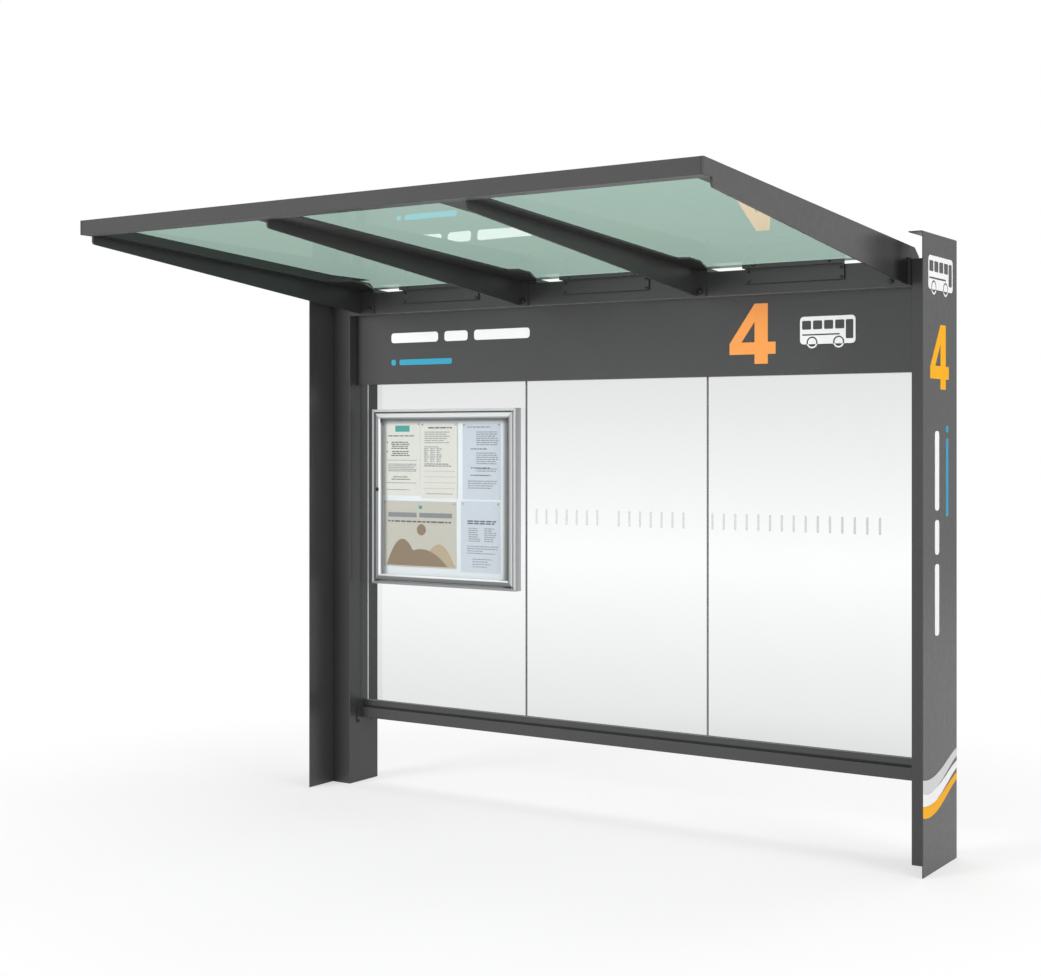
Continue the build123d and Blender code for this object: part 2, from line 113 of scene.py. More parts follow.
# ---------------------------------------------------------------- materials
class Nodes:
    """The nodes of a new material, or of the world, with short calls for the kinds used here."""

    def __init__(self, name, world=None):
        self.material = world or bpy.data.materials.new(name)
        self.material.use_nodes = True
        self.tree = self.material.node_tree
        self.tree.nodes.clear()
        kind = "ShaderNodeOutputWorld" if world else "ShaderNodeOutputMaterial"
        self.out = self.tree.nodes.new(kind)
        self.place = self.tree.nodes.new("ShaderNodeTexCoord").outputs["Object"]

    def add(self, kind, settings=None, **values):
        """A new node; each value goes to the input of that name, with spaces for underscores."""
        node = self.tree.nodes.new(kind)
        for key, value in (settings or {}).items():
            setattr(node, key, value)
        for key, value in values.items():
            self.put(node.inputs[key.replace("_", " ")], value)
        return node

    def put(self, socket, value):
        """Links a socket to an input, or sets the input's own number or colour."""
        if isinstance(value, bpy.types.NodeSocket):
            self.tree.links.new(value, socket)
        elif hasattr(value, "__len__") and len(value) == 3 and socket.type == "RGBA":
            socket.default_value = (*value, 1)
        else:
            socket.default_value = value

    def math(self, operation, a, b=0.0):
        node = self.add("ShaderNodeMath", {"operation": operation})
        self.put(node.inputs[0], a)
        self.put(node.inputs[1], b)
        return node.outputs[0]

    def stretch(self, scale):
        """Object coordinates scaled by a number for each axis."""
        return self.add("ShaderNodeMapping", Vector=self.place, Scale=scale).outputs[0]

    def noise(self, scale, detail, roughness=0.5, place=None):
        values = {"Scale": scale, "Detail": detail, "Roughness": roughness}
        return self.add("ShaderNodeTexNoise", Vector=place or self.place, **values).outputs["Fac"]

    def span(self, value, low, high, to_low, to_high, smooth=False):
        """Maps low..high to to_low..to_high and clamps it there."""
        shape = "SMOOTHSTEP" if smooth else "LINEAR"
        node = self.add("ShaderNodeMapRange", {"interpolation_type": shape})
        for socket, number in zip(node.inputs[:5], (value, low, high, to_low, to_high)):
            self.put(socket, number)
        return node.outputs[0]

    def mix(self, factor, a, b):
        """Colour a where factor is 0, b where it is 1."""
        node = self.add("ShaderNodeMix", {"data_type": "RGBA"})
        for index, value in ((0, factor), (6, a), (7, b)):
            self.put(node.inputs[index], value)
        return node.outputs[2]

    def blend(self, factor, a, b):
        """Number a where factor is 0, b where it is 1."""
        node = self.add("ShaderNodeMix", {"data_type": "FLOAT"})
        for index, value in ((0, factor), (2, a), (3, b)):
            self.put(node.inputs[index], value)
        return node.outputs[0]

    def mix_shaders(self, factor, a, b):
        """Shader a where factor is 0, b where it is 1."""
        node = self.add("ShaderNodeMixShader")
        for index, value in enumerate((factor, a, b)):
            self.put(node.inputs[index], value)
        return node.outputs[0]

    def scaled(self, colours, factor):
        settings = {"operation": "SCALE"}
        return self.add("ShaderNodeVectorMath", settings, Vector=colours, Scale=factor).outputs[0]

    def mottled(self, factor, colour, dark, light):
        """A colour that varies between two tones of itself as factor goes from 0.3 to 0.7."""
        return self.mix(self.span(factor, 0.3, 0.7, 0, 1), tone(colour, dark), tone(colour, light))

    def bump(self, height, strength, distance):
        values = {"Height": height, "Strength": strength, "Distance": distance}
        return self.add("ShaderNodeBump", **values).outputs[0]

    def shown(self):
        """1 for rays of the camera, of reflections and through glass; 0 for lamps' light."""
        rays = self.add("ShaderNodeLightPath").outputs
        camera_or_gloss = self.math("MAXIMUM", rays["Is Camera Ray"], rays["Is Glossy Ray"])
        return self.math("MAXIMUM", camera_or_gloss, rays["Is Transmission Ray"])

    def glow(self, colour, strength=1.0):
        return self.add("ShaderNodeEmission", Color=colour, Strength=strength).outputs[0]

    def axes(self):
        return self.add("ShaderNodeSeparateXYZ", Vector=self.place).outputs

    def facing(self):
        """How far the surface's own normal points along the piece's x, y and z, without sign."""
        normal = self.add("ShaderNodeNewGeometry").outputs["True Normal"]
        to_piece = {"vector_type": "NORMAL", "convert_from": "WORLD", "convert_to": "OBJECT"}
        turned = self.add("ShaderNodeVectorTransform", to_piece, Vector=normal).outputs[0]
        parts = self.add("ShaderNodeSeparateXYZ", Vector=turned).outputs
        return [self.math("ABSOLUTE", part) for part in parts]

    def principled(self, **values):
        shader = self.add("ShaderNodeBsdfPrincipled", **values)
        self.finish(shader.outputs[0])
        return shader

    def finish(self, shader):
        self.tree.links.new(shader, self.out.inputs["Surface"])
        return self.material


def tone(colour, factor):
    return tuple(channel * factor for channel in colour)


DARK_GREY = (0.0425, 0.0435, 0.0428)
PAINTED_SHADOW_DARKEST = 0.15              # lightness of the painted frame shadow next to the door frame


def painted_frame_shadow(n, colours):
    """Painted shadow of the door frame along the upper and right sides of the showcase's opening.
    """
    x, _, z = n.axes()
    upper = n.span(z, opening_top - 0.032, opening_top - 0.004, 1, PAINTED_SHADOW_DARKEST, smooth=True)
    right = n.span(x, opening_right - 0.058, opening_right - 0.030, 1, PAINTED_SHADOW_DARKEST, smooth=True)
    return n.scaled(colours, n.math("MULTIPLY", upper, right))


def fascia_joints_and_painted_light(n, colours):
    """Open joints where the fascia meets the end rafters, and painted light under its fold, as if
    from the floor.
    """
    x, _, z = n.axes()
    from_middle = n.math("ABSOLUTE", n.math("SUBTRACT", x, roof_middle))
    gap = n.math("SUBTRACT", fascia_high.x - roof_middle, from_middle)
    colours = n.mix(n.span(gap, 0.0020, 0.0032, 1, 0), colours, tone(DARK_GREY, 0.15))
    # painted light: the fold's underside is painted four times as light as the paint
    level = n.math("GREATER_THAN", n.facing()[2], 0.9)
    under = n.math("MULTIPLY", level, n.math("LESS_THAN", z, fascia_low.z + 0.006))
    return n.mix(under, colours, tone(DARK_GREY, 4.0))


def painted_edge_highlight(n, colours):
    """Painted highlight on the beam's lower edge over the sign board."""
    z = n.axes()[2]
    edge = n.span(z, beam_low.z + 0.0006, beam_low.z + 0.0016, 1, 0)
    return n.mix(edge, colours, tone(DARK_GREY, 5.5))


def painted_wall_shade(n, colours):
    """Painted grey shade on the wall panes, fading from their top and bottom edges to nothing half
    way.
    """
    low, high = wall_panes[0][0].z, sign_low.z
    middle, reach = (low + high) / 2, (high - low) / 2
    z = n.axes()[2]
    away = n.math("DIVIDE", n.math("ABSOLUTE", n.math("SUBTRACT", z, middle)), reach)
    return n.mix(n.span(away, 0.05, 1.0, 0, 1), colours, (0.875, 0.878, 0.877))


def painted(name, colour, roughness=0.33, peel=0.10, mark=None):
    """Satin powder coat: fine orange peel, faint clouding and slightly uneven gloss.

    mark(n, colours) returns the colours with shading of its own.
    """
    n = Nodes(name)
    colours = n.mottled(n.noise(1.6, 3), colour, 0.93, 1.06)
    flecks = n.noise(900, 2)
    colours = n.mix(n.span(flecks, 0.35, 0.65, 0, 0.12), colours, tone(colour, 1.5))
    if mark:
        colours = mark(n, colours)
    gloss = n.span(n.noise(35, 3), 0.3, 0.7, roughness - 0.03, roughness + 0.04)
    bumps = n.bump(n.noise(620, 2), peel, 0.0006)
    n.principled(Base_Color=colours, Roughness=gloss, Normal=bumps)
    return n.material


BACK_SHEET = 0.003          # the rear of the case and of the door frame, which is plain
MITRE = 0.0008              # width of the line at a mitred corner


def brushed(name, colour, roughness, low, high, faces, painted_bevel_tones=None, inner=None):
    """Satin anodised profile: grain along each member and a fine line at the mitred corners.

    The last three arguments are painted light and shade: how light the left, right, lower and
    upper members are painted at their outer edge, on their inner bevel and just outside that
    bevel, in that order. The plain back has one tone.
    """
    n = Nodes(name)
    x, y, z = n.axes()
    past_x = n.math("SUBTRACT", x, (low.x + high.x) / 2)
    past_z = n.math("SUBTRACT", z, (low.z + high.z) / 2)
    from_x = n.math("SUBTRACT", n.math("ABSOLUTE", past_x), (high.x - low.x) / 2)
    from_z = n.math("SUBTRACT", n.math("ABSOLUTE", past_z), (high.z - low.z) / 2)
    ahead = n.math("LESS_THAN", y, high.y - BACK_SHEET)
    side = n.math("SUBTRACT", from_x, from_z)
    upright = n.math("MULTIPLY", n.math("GREATER_THAN", side, 0.0), ahead)
    mitre = n.span(n.math("ABSOLUTE", side), MITRE / 2, MITRE / 2 + 0.0005, 1, 0)
    along_z = n.noise(1.0, 3, 0.6, n.stretch((1400, 1400, 14)))
    along_x = n.noise(1.0, 3, 0.6, n.stretch((14, 1400, 1400)))
    grain = n.blend(upright, along_x, along_z)

    def member(left, right, low, high):
        uprights = n.blend(n.math("GREATER_THAN", past_x, 0.0), left, right)
        return n.blend(upright, n.blend(n.math("GREATER_THAN", past_z, 0.0), low, high), uprights)

    # painted light and shade: each member's tone by its side
    shade = member(*faces)
    if painted_bevel_tones:
        from_edge = n.math("MAXIMUM", from_x, from_z)
        on_bevel = n.math("LESS_THAN", from_edge, BEVEL_WIDTH - DOOR_FRAME)
        across = n.span(from_edge, BEVEL_WIDTH - DOOR_FRAME, -0.003, 0, 1)
        shade = n.blend(on_bevel, n.blend(across, member(*inner), shade), member(*painted_bevel_tones))
    shade = n.blend(ahead, 0.8, shade)
    colours = n.mottled(grain, colour, 0.93, 1.05)
    colours = n.mix(n.math("MULTIPLY", mitre, ahead), colours, tone(colour, 0.25))
    colours = n.scaled(colours, shade)
    gloss = n.span(grain, 0.3, 0.7, roughness - 0.05, roughness + 0.06)
    bumps = n.bump(grain, 0.06, 0.0003)
    n.principled(Base_Color=colours, Metallic=0.6, Roughness=gloss, Normal=bumps)
    return n.material


def plain(name, colour, roughness, scale, depth, metallic=0.0, variation=0.06, mark=None):
    """A surface with grain of that scale and depth in its height, gloss and colour."""
    n = Nodes(name)
    grain = n.noise(scale, 3)
    colours = n.mottled(n.noise(scale / 25, 2), colour, 1 - variation, 1 + variation)
    if mark:
        colours = mark(n, colours)
    gloss = n.span(grain, 0.3, 0.7, roughness - 0.05, roughness + 0.05)
    bumps = n.bump(grain, 0.25, depth)
    n.principled(Base_Color=colours, Metallic=metallic, Roughness=gloss, Normal=bumps)
    return n.material


def halved(tint):
    """The tint of one of a pane's two faces, which together give the whole tint."""
    return tuple(math.sqrt(channel) for channel in tint)


def sheet_glass(name, tint, edge_colour, thin_axis, painted_glass_shade=None, sheen=1.0, shade=None):
    """Flat glass seen straight through: tinted, with glancing reflections and polished edges.

    Each pane is a closed solid. Its near face reflects for both faces, and each has half the tint.
    thin_axis is the axis across its thickness, 0 for x to 2 for z. The function after it adds
    painted shade to the tint. sheen scales the reflection. shade is the tint of the light that it
    lets through.
    """
    n = Nodes(name)
    glance = n.add("ShaderNodeFresnel", IOR=1.5).outputs[0]
    both_faces = n.math("DIVIDE", n.math("MULTIPLY", glance, 2.0), n.math("ADD", glance, 1.0))
    outside = n.math("SUBTRACT", 1.0, n.add("ShaderNodeNewGeometry").outputs["Backfacing"])
    share = n.math("MULTIPLY", n.math("MULTIPLY", both_faces, sheen), outside)
    half_tint = halved(tint)
    smear = n.span(n.noise(2.2, 3), 0.3, 0.75, 0.0, 1.0)
    colours = n.mix(smear, half_tint, tone(half_tint, 0.992))
    # painted shade, where a shading function is given
    if painted_glass_shade:
        colours = painted_glass_shade(n, colours)
    if shade:
        to_lamp = n.add("ShaderNodeLightPath").outputs["Is Shadow Ray"]
        colours = n.mix(to_lamp, colours, halved(shade))
    through = n.add("ShaderNodeBsdfTransparent", Color=colours).outputs[0]
    ripple = n.bump(n.noise(3.5, 1), 0.06, 0.004)
    gloss = {"Color": (0.97, 1.0, 0.985), "Roughness": 0.015, "Normal": ripple}
    shine = n.add("ShaderNodeBsdfGlossy", **gloss).outputs[0]
    face = n.mix_shaders(share, through, shine)
    edge_grain = n.noise(300, 2)
    edge = n.add(
        "ShaderNodeBsdfPrincipled",
        Base_Color=n.mottled(edge_grain, edge_colour, 0.9, 1.08),
        Roughness=n.span(edge_grain, 0.3, 0.7, 0.12, 0.25),
    ).outputs[0]
    on_edge = n.math("LESS_THAN", n.facing()[thin_axis], 0.7)
    return n.finish(n.mix_shaders(on_edge, face, edge))


def film(name, colour):
    """Cut vinyl: matt, with a very fine grain."""
    n = Nodes(name)
    grain = n.noise(500, 3)
    colours = n.mottled(n.noise(20, 2), colour, 0.985, 1.015)
    gloss = n.span(grain, 0.3, 0.7, 0.5, 0.6)
    bumps = n.bump(grain, 0.2, 0.00006)
    shader = n.principled(Base_Color=colours, Roughness=gloss, Normal=bumps)
    shader.inputs["Specular IOR Level"].default_value = 0.2
    return n.material


def paper(name, colour):
    """Printing paper: matt fibres, slight mottling and the door frame's painted shadow."""
    n = Nodes(name)
    fibres = n.noise(1.0, 4, 0.7, n.stretch((900, 900, 300)))
    colours = n.mottled(n.noise(60, 3), colour, 0.97, 1.01)
    colours = n.mix(n.span(fibres, 0.4, 0.7, 0, 0.10), colours, tone(colour, 0.8))
    # the door frame's painted shadow
    colours = painted_frame_shadow(n, colours)
    gloss = n.span(fibres, 0.3, 0.7, 0.65, 0.85)
    bumps = n.bump(fibres, 0.3, 0.0001)
    shader = n.principled(Base_Color=colours, Roughness=gloss, Normal=bumps)
    shader.inputs["Specular IOR Level"].default_value = 0.2
    return n.material


paint = painted("frame_paint", DARK_GREY)
# the frame paint darkened to 0.88 as painted shade, with dark joints and painted light under the
# fold
fascia_paint_painted_light = painted("fascia_paint_painted_light", tone(DARK_GREY, 0.88), mark=fascia_joints_and_painted_light)
# the left end rafter's paint darkened to 0.78 as painted shade
left_rafter_painted_shade = painted("left_rafter_painted_shade", tone(DARK_GREY, 0.78))
# painted highlight along the beam's lower edge
beam_paint_painted_highlight = painted("beam_paint_painted_highlight", DARK_GREY, mark=painted_edge_highlight)
galvanised = plain(
    "galvanised_steel", (0.42, 0.43, 0.44), 0.5, 160, 0.0004, metallic=0.9, variation=0.12
)
dark_bolt = painted("bolt_dark", (0.022, 0.023, 0.024), 0.38, 0.05)
rubber = plain("seal_rubber", (0.018, 0.018, 0.019), 0.62, 700, 0.0004)
grey_silicone = plain("seal_silicone", (0.16, 0.165, 0.165), 0.45, 400, 0.0003)
# its right and upper bars take the door frame's painted shadow
white_seal = plain(
    "seal_white", (0.80, 0.81, 0.82), 0.5, 500, 0.0002, variation=0.02, mark=painted_frame_shadow
)
lock_black = painted("lock_black", (0.012, 0.012, 0.013), 0.3, 0.05)
pin_steel = plain("pin_steel", (0.6, 0.6, 0.6), 0.25, 500, 0.0001, metallic=1.0, variation=0.04)
# the door frame's painted shadow falls on the board near the opening's upper and right sides
board_white = painted("board_white", (0.70, 0.73, 0.76), 0.35, 0.05, mark=painted_frame_shadow)
white_film = film("film_white", (0.90, 0.90, 0.90))
orange_film = film("film_orange", (0.93, 0.36, 0.10))
yellow_film = film("film_yellow", (0.95, 0.44, 0.006))
cyan_film = film("film_blue", (0.05, 0.34, 0.50))
grey_film = film("film_grey", (0.66, 0.66, 0.67))
tick_film = film("film_ticks", (0.60, 0.61, 0.61))
warm_paper = paper("paper_warm", (0.68, 0.665, 0.62))
cool_paper = paper("paper_cool", (0.55, 0.59, 0.66))
beige_paper = paper("paper_beige", (0.52, 0.49, 0.43))
ink_black = film("ink_black", (0.06, 0.06, 0.07))
ink_grey = film("ink_grey", (0.20, 0.21, 0.23))
ink_teal = film("ink_teal", (0.02, 0.30, 0.26))
ink_brown = film("ink_brown", (0.22, 0.15, 0.085))
ink_tan = film("ink_tan", (0.42, 0.33, 0.21))

SILVER = (0.60, 0.61, 0.62)
# painted light and shade: members lighter above and to the right, darker below and to the left;
# door bevels lit on the left and below
case_silver_painted_light = brushed("silver_case_painted_light", SILVER, 0.34, case_low, case_high, (0.8, 0.9, 0.45, 0.95))
door_silver_painted_light = brushed(
    "silver_door_painted_light",
    SILVER,
    0.34,
    door_low,
    door_high,
    faces=(0.46, 1.0, 0.24, 1.15),
    painted_bevel_tones=(1.5, 0.1, 1.5, 0.6),
    inner=(0.52, 0.4, 0.36, 1.15),
)

# painted grey shade towards the wall panes' top and bottom edges
clear_glass = sheet_glass("clear_glass", (0.985, 0.995, 0.99), (0.80, 0.90, 0.86), 1, painted_wall_shade)
door_glass = sheet_glass("door_glass", (0.97, 0.985, 0.98), (0.35, 0.42, 0.40), 1)
roof_glass = sheet_glass(
    "roof_glass", (0.63, 0.88, 0.76), (0.22, 0.36, 0.29), 2, sheen=0.9, shade=(0.80, 0.84, 0.82)
)

# the finish of each material slot, and of the pieces that have one of their own
slot_finishes = {
    "frame_paint": paint,
    "galvanised": galvanised,
    "clear_glass": clear_glass,
    "roof_glass": roof_glass,
    "board_white": board_white,
    "door_glass": door_glass,
    "pin_steel": pin_steel,
    "lock_black": lock_black,
}
own_finishes = {
    "showcase_case": case_silver_painted_light,
    "showcase_door_frame": door_silver_painted_light,
    "front_fascia": fascia_paint_painted_light,
    "left_end_rafter": left_rafter_painted_shade,
    "top_beam": beam_paint_painted_highlight,
}
for part in frame["record"]["subparts"]:
    name = part["node"]
    material = own_finishes.get(name) or slot_finishes[part["material_slot"]]
    nodes[name].data.materials.clear()
    nodes[name].data.materials.append(material)


# ---------------------------------------------------------------- mesh tools
def add_piece(name, mesh, material, body, smooth=False):
    """A piece that rides on a body, in one material or a list of them."""
    piece = bpy.data.objects.new(name, mesh)
    bpy.context.scene.collection.objects.link(piece)
    for one in material if isinstance(material, list) else [material]:
        mesh.materials.append(one)
    if smooth:
        mesh.shade_smooth()
        mesh.set_sharp_from_angle(angle=math.radians(35))
    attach(piece, body)


def mesh_of(build, *details):
    """The mesh that build(bm, *details) makes."""
    bm = bmesh.new()
    build(bm, *details)
    bmesh.ops.recalc_face_normals(bm, faces=bm.faces)
    mesh = bpy.data.meshes.new("mesh")
    bm.to_mesh(mesh)
    bm.free()
    return mesh


def lathe(bm, profile, place, axis, sides=24, hexes=(), ring=False):
    """Turns (radius, height) pairs about axis through place, with end faces or closed as a ring.

    Rings whose index is in hexes become hexagons.
    """
    turn = Vector((0, 0, 1)).rotation_difference(Vector(axis)).to_matrix()
    rings = []
    for index, (radius, height) in enumerate(profile):
        loop = []
        for step in range(sides):
            angle = 2 * math.pi * step / sides
            reach = radius
            if index in hexes:
                within = (angle + math.pi / 6) % (math.pi / 3) - math.pi / 6
                reach = radius / math.cos(within)
            spot = Vector((reach * math.cos(angle), reach * math.sin(angle), height))
            loop.append(bm.verts.new(Vector(place) + turn @ spot))
        rings.append(loop)
    for lower, upper in zip(rings, rings[1:] + (rings[:1] if ring else [])):
        for step in range(sides):
            after = (step + 1) % sides
            bm.faces.new((lower[step], lower[after], upper[after], upper[step]))
    if not ring:
        bm.faces.new(rings[0][::-1])
        bm.faces.new(rings[-1])


def hex_bolt(bm, place, axis, across, head):
    """Washer and hexagon head with a rounded crown, standing on the face at place."""
    rim, start, flat = across * 0.98, across * 0.17, across / 2
    lathe(bm, [(rim, 0), (rim, across * 0.13), (rim * 0.95, start)], place, axis)
    lathe(
        bm,
        [
            (flat, start),
            (flat, start + head * 0.8),
            (flat * 0.97, start + head * 0.95),
            (flat * 0.86, start + head),
        ],
        place,
        axis,
        hexes=(0, 1),
    )


def button_screw(bm, place, axis, radius, head):
    """Domed head with a hexagon socket."""
    socket = radius * 0.42
    lathe(
        bm,
        [
            (radius, 0),
            (radius, head * 0.22),
            (radius * 0.93, head * 0.58),
            (radius * 0.74, head * 0.86),
            (radius * 0.5, head),
            (socket, head),
            (socket * 0.96, head * 0.35),
        ],
        place,
        axis,
        hexes=(5, 6),
    )


def strip(bm, outline, start, end):
    """Extrudes a closed outline of (across, up) pairs; across is level and square to the run."""
    start, end = Vector(start), Vector(end)
    run = (end - start).normalized()
    across = run.cross(Vector((0, 0, 1))).normalized()
    up = across.cross(run)
    ends = []
    for place in (start, end):
        ends.append([bm.verts.new(place + across * a + up * b) for a, b in outline])
    count = len(outline)
    for index in range(count):
        after = (index + 1) % count
        bm.faces.new((ends[0][index], ends[0][after], ends[1][after], ends[1][index]))
    bm.faces.new(ends[0][::-1])
    bm.faces.new(ends[1])


CORNER_STEPS = 4            # facets of a rounded corner
CIRCLE_SIDES = 32
WAVE_STEPS = 24


def rounded(width, height, radius):
    """Outline of a rounded rectangle about the origin."""
    outline = []
    for corner, (sign_x, sign_y) in enumerate(((1, 1), (-1, 1), (-1, -1), (1, -1))):
        for step in range(CORNER_STEPS + 1):
            angle = corner * math.pi / 2 + math.pi / 2 * step / CORNER_STEPS
            x = sign_x * (width / 2 - radius) + radius * math.cos(angle)
            y = sign_y * (height / 2 - radius) + radius * math.sin(angle)
            outline.append((x, y))
    return outline


def bar(bm, low, high):
    """A box between two corners."""
    corners = [bm.verts.new(spot) for spot in product(*zip(low, high))]
    sides = ((0, 1, 3, 2), (4, 6, 7, 5), (0, 4, 5, 1), (2, 3, 7, 6), (0, 2, 6, 4), (1, 5, 7, 3))
    for side in sides:
        bm.faces.new([corners[index] for index in side])


def moved(outline, x, y):
    return [(a + x, b + y) for a, b in outline]


def circle(radius, x, y):
    angles = [2 * math.pi * step / CIRCLE_SIDES for step in range(CIRCLE_SIDES)]
    return [(x + radius * math.cos(angle), y + radius * math.sin(angle)) for angle in angles]


def cut_film(name, outlines, thickness, origin, right, up):
    """A flat shape from closed outlines, holes where they overlap, laid on the face at origin."""
    curve = bpy.data.curves.new(name, "CURVE")
    curve.dimensions = "2D"
    curve.fill_mode = "BOTH"
    curve.extrude = thickness / 2
    for outline in outlines:
        spline = curve.splines.new("POLY")
        spline.points.add(len(outline) - 1)
        for point, (a, b) in zip(spline.points, outline):
            point.co = (a, b, 0, 1)
        spline.use_cyclic_u = True
    holder = bpy.data.objects.new(name, curve)
    bpy.context.scene.collection.objects.link(holder)
    seen = holder.evaluated_get(bpy.context.evaluated_depsgraph_get())
    mesh = bpy.data.meshes.new_from_object(seen)
    bpy.data.objects.remove(holder)
    bpy.data.curves.remove(curve)
    right, up = Vector(right), Vector(up)
    out = right.cross(up)
    turn = Matrix((right, up, out)).transposed().to_4x4()
    mesh.transform(Matrix.Translation(Vector(origin) + out * thickness / 2) @ turn)
    mesh.materials.clear()
    return mesh


# ---------------------------------------------------------------- graphics
FILM = 0.0003               # thickness of cut film
TO_ROAD = ((1, 0, 0), (0, 0, 1))      # right and up on a face that looks towards the road
TO_RIGHT = ((0, 1, 0), (0, 0, 1))     # on the right side plate's outer face
UP_PLATE = ((0, 0, 1), (0, -1, 0))    # the same face, reading upwards

# outline and hole of a plain figure 4, in heights of the figure
numeral = [
    [(0.46, 1.0), (0.70, 1.0), (0.70, 0.36), (0.84, 0.36), (0.84, 0.16), (0.70, 0.16), (0.70, 0.0),
     (0.46, 0.0), (0.46, 0.16), (0.0, 0.16), (0.0, 0.34)],
    [(0.46, 0.36), (0.46, 0.70), (0.22, 0.36)],
]


def numeral_at(left, bottom, height):
    return [[(left + a * height, bottom + b * height) for a, b in outline] for outline in numeral]


def bus_at(x, y, length):
    """Side view of a plain bus, its middle at x, y, drawn in twentieths of its length."""
    unit = length / 20

    def panel(width, height, radius, across, up):
        outline = rounded(width * unit, height * unit, radius * unit)
        return moved(outline, x + across * unit, y + up * unit)

    body, door = panel(20, 9.4, 1.3, 0, 0.9), panel(2.7, 6.4, 0.4, 7.9, 1.0)
    windows = [panel(3.3, 3.0, 0.4, across, 2.7) for across in (-7.6, -3.6, 0.4, 4.4)]
    crease = panel(13.6, 0.5, 0.2, -2.4, -0.6)
    outlines = [body, *windows, door, crease]
    for across in (-5.6, 4.0):
        for radius in (2.0, 1.5):
            outlines.append(circle(radius * unit, x + across * unit, y - 3.2 * unit))
    return outlines


def bars_at(left, middle, height, lengths, gap):
    """A row of bars with rounded ends in place of words."""
    outlines = []
    for length in lengths:
        outlines.append(moved(rounded(length, height, height * 0.3), left + length / 2, middle))
        left += length + gap
    return outlines


# places on the sign board are metres from its lower left corner
name_lengths = (0.27, 0.13, 0.30)
signs = (
    ("sign_name", white_film, "film_white", bars_at(0.203, 0.214, 0.046, name_lengths, 0.036)),
    ("sign_line", cyan_film, "film_colour", bars_at(0.203, 0.100, 0.026, (0.026, 0.30), 0.022)),
    ("sign_numeral", orange_film, "film_colour", numeral_at(1.955, 0.048, 0.245)),
    ("sign_bus", white_film, "film_white", bus_at(2.385, 0.165, 0.235)),
)
for name, material, slot, outlines in signs:
    add_piece(name, cut_film(name, outlines, FILM, sign_low, *TO_ROAD), material, SHELTER)

# places on the side plate are metres from its front edge, and above the floor; UP_PLATE turns them
plate_face = (plate_high.x, plate_low.y, 0)
plate_name = bars_at(0.885, -0.150, 0.046, name_lengths, 0.036)
plate_line = bars_at(1.330, -0.262, 0.026, (0.30, 0.026), 0.022)
plates = (
    ("plate_bus", white_film, "film_white", bus_at(0.190, 2.240, 0.27), TO_RIGHT),
    ("plate_numeral", yellow_film, "film_colour", numeral_at(0.075, 1.815, 0.245), TO_RIGHT),
    ("plate_name", white_film, "film_white", plate_name, UP_PLATE),
    ("plate_line", cyan_film, "film_colour", plate_line, UP_PLATE),
)
for name, material, slot, outlines, axes in plates:
    add_piece(name, cut_film(name, outlines, FILM, plate_face, *axes), material, SHELTER)

plate_width = plate_high.y - plate_low.y


def wave(bottom, top):
    """A band across the side plate that rises to the rear in a flat S."""
    lower, upper = [], []
    for step in range(WAVE_STEPS + 1):
        part = step / WAVE_STEPS
        rise = 0.085 * (3 * part * part - 2 * part ** 3) - 0.030 * math.sin(math.pi * part)
        lower.append((part * plate_width, bottom + rise))
        upper.append((part * plate_width, top + rise * 0.8))
    return lower + upper[::-1]


stripes = (
    ("plate_stripe_grey", grey_film, "film_white", 0.312, 0.362),
    ("plate_stripe_white", white_film, "film_white", 0.266, 0.3115),
    ("plate_stripe_yellow", yellow_film, "film_colour", 0.222, 0.2655),
)
for name, material, slot, bottom, top in stripes:
    mesh = cut_film(name, [wave(bottom, top)], FILM, plate_face, *TO_RIGHT)
    add_piece(name, mesh, material, SHELTER)

# collision-warning ticks on the middle and right wall panes: each row's start, from its pane's left
# edge, and how many ticks it has
TICK_PITCH = 0.05232
TICK_LEVEL = 1.284
tick = rounded(0.010, 0.068, 0.002)
glass_face = (0, wall_panes[0][0].y, 0)
tick_rows = (
    ("glass_ticks_middle", wall_panes[1][0].x, ((0.055, 7), (0.477, 7))),
    ("glass_ticks_right", wall_panes[2][0].x, ((0.022, 15),)),
)
for name, left, rows in tick_rows:
    places = [start + index * TICK_PITCH for start, count in rows for index in range(count)]
    outlines = [moved(tick, left + place, TICK_LEVEL) for place in places]
    mesh = cut_film(name, outlines, FILM, glass_face, *TO_ROAD)
    add_piece(name, mesh, tick_film, SHELTER)

# ---------------------------------------------------------------- bolts and screws
TO_FRONT = (0, -1, 0)
HOLE_EDGE = 0.022           # from an end plate's edge to a bolt's middle
BOLT_SPREAD = 0.021         # of an inner rafter's two bolts from its web
bolt_places = {
    "left_end_rafter": [roof_left + END_PLATE_WIDTH - HOLE_EDGE],
    "left_inner_rafter": [web_middles[1] - BOLT_SPREAD, web_middles[1] + BOLT_SPREAD],
    "right_inner_rafter": [web_middles[2] - BOLT_SPREAD, web_middles[2] + BOLT_SPREAD],
    "right_end_rafter": [roof_right - END_PLATE_WIDTH + HOLE_EDGE],
}


def rafter_bolts(bm, places):
    for x in places:
        place = (x, post_low.y - END_PLATE, END_PLATE_BOTTOM + HOLE_EDGE)
        hex_bolt(bm, place, TO_FRONT, 0.015, 0.0075)


def bracket_screws(bm, low, high):
    """Four through a glass bracket's upright, two in its clamp."""
    for x in (low.x + 0.016, high.x - 0.010):
        for z in (low.z + 0.007, high.z - 0.030):
            button_screw(bm, (x, high.y - BRACKET_PLATE, z), TO_FRONT, 0.0065, 0.005)
    for x in (low.x + 0.050, high.x - 0.050):
        button_screw(bm, (x, low.y, high.z - 0.0058), TO_FRONT, 0.0055, 0.007)


def rail_bracket_screws(bm, low, high, inward):
    face = high.x if inward > 0 else low.x
    for y in (low.y + 0.010, high.y - 0.010):
        for z in (low.z + 0.009, high.z - 0.030):
            button_screw(bm, (face, y, z), (inward, 0, 0), 0.0075, 0.004)


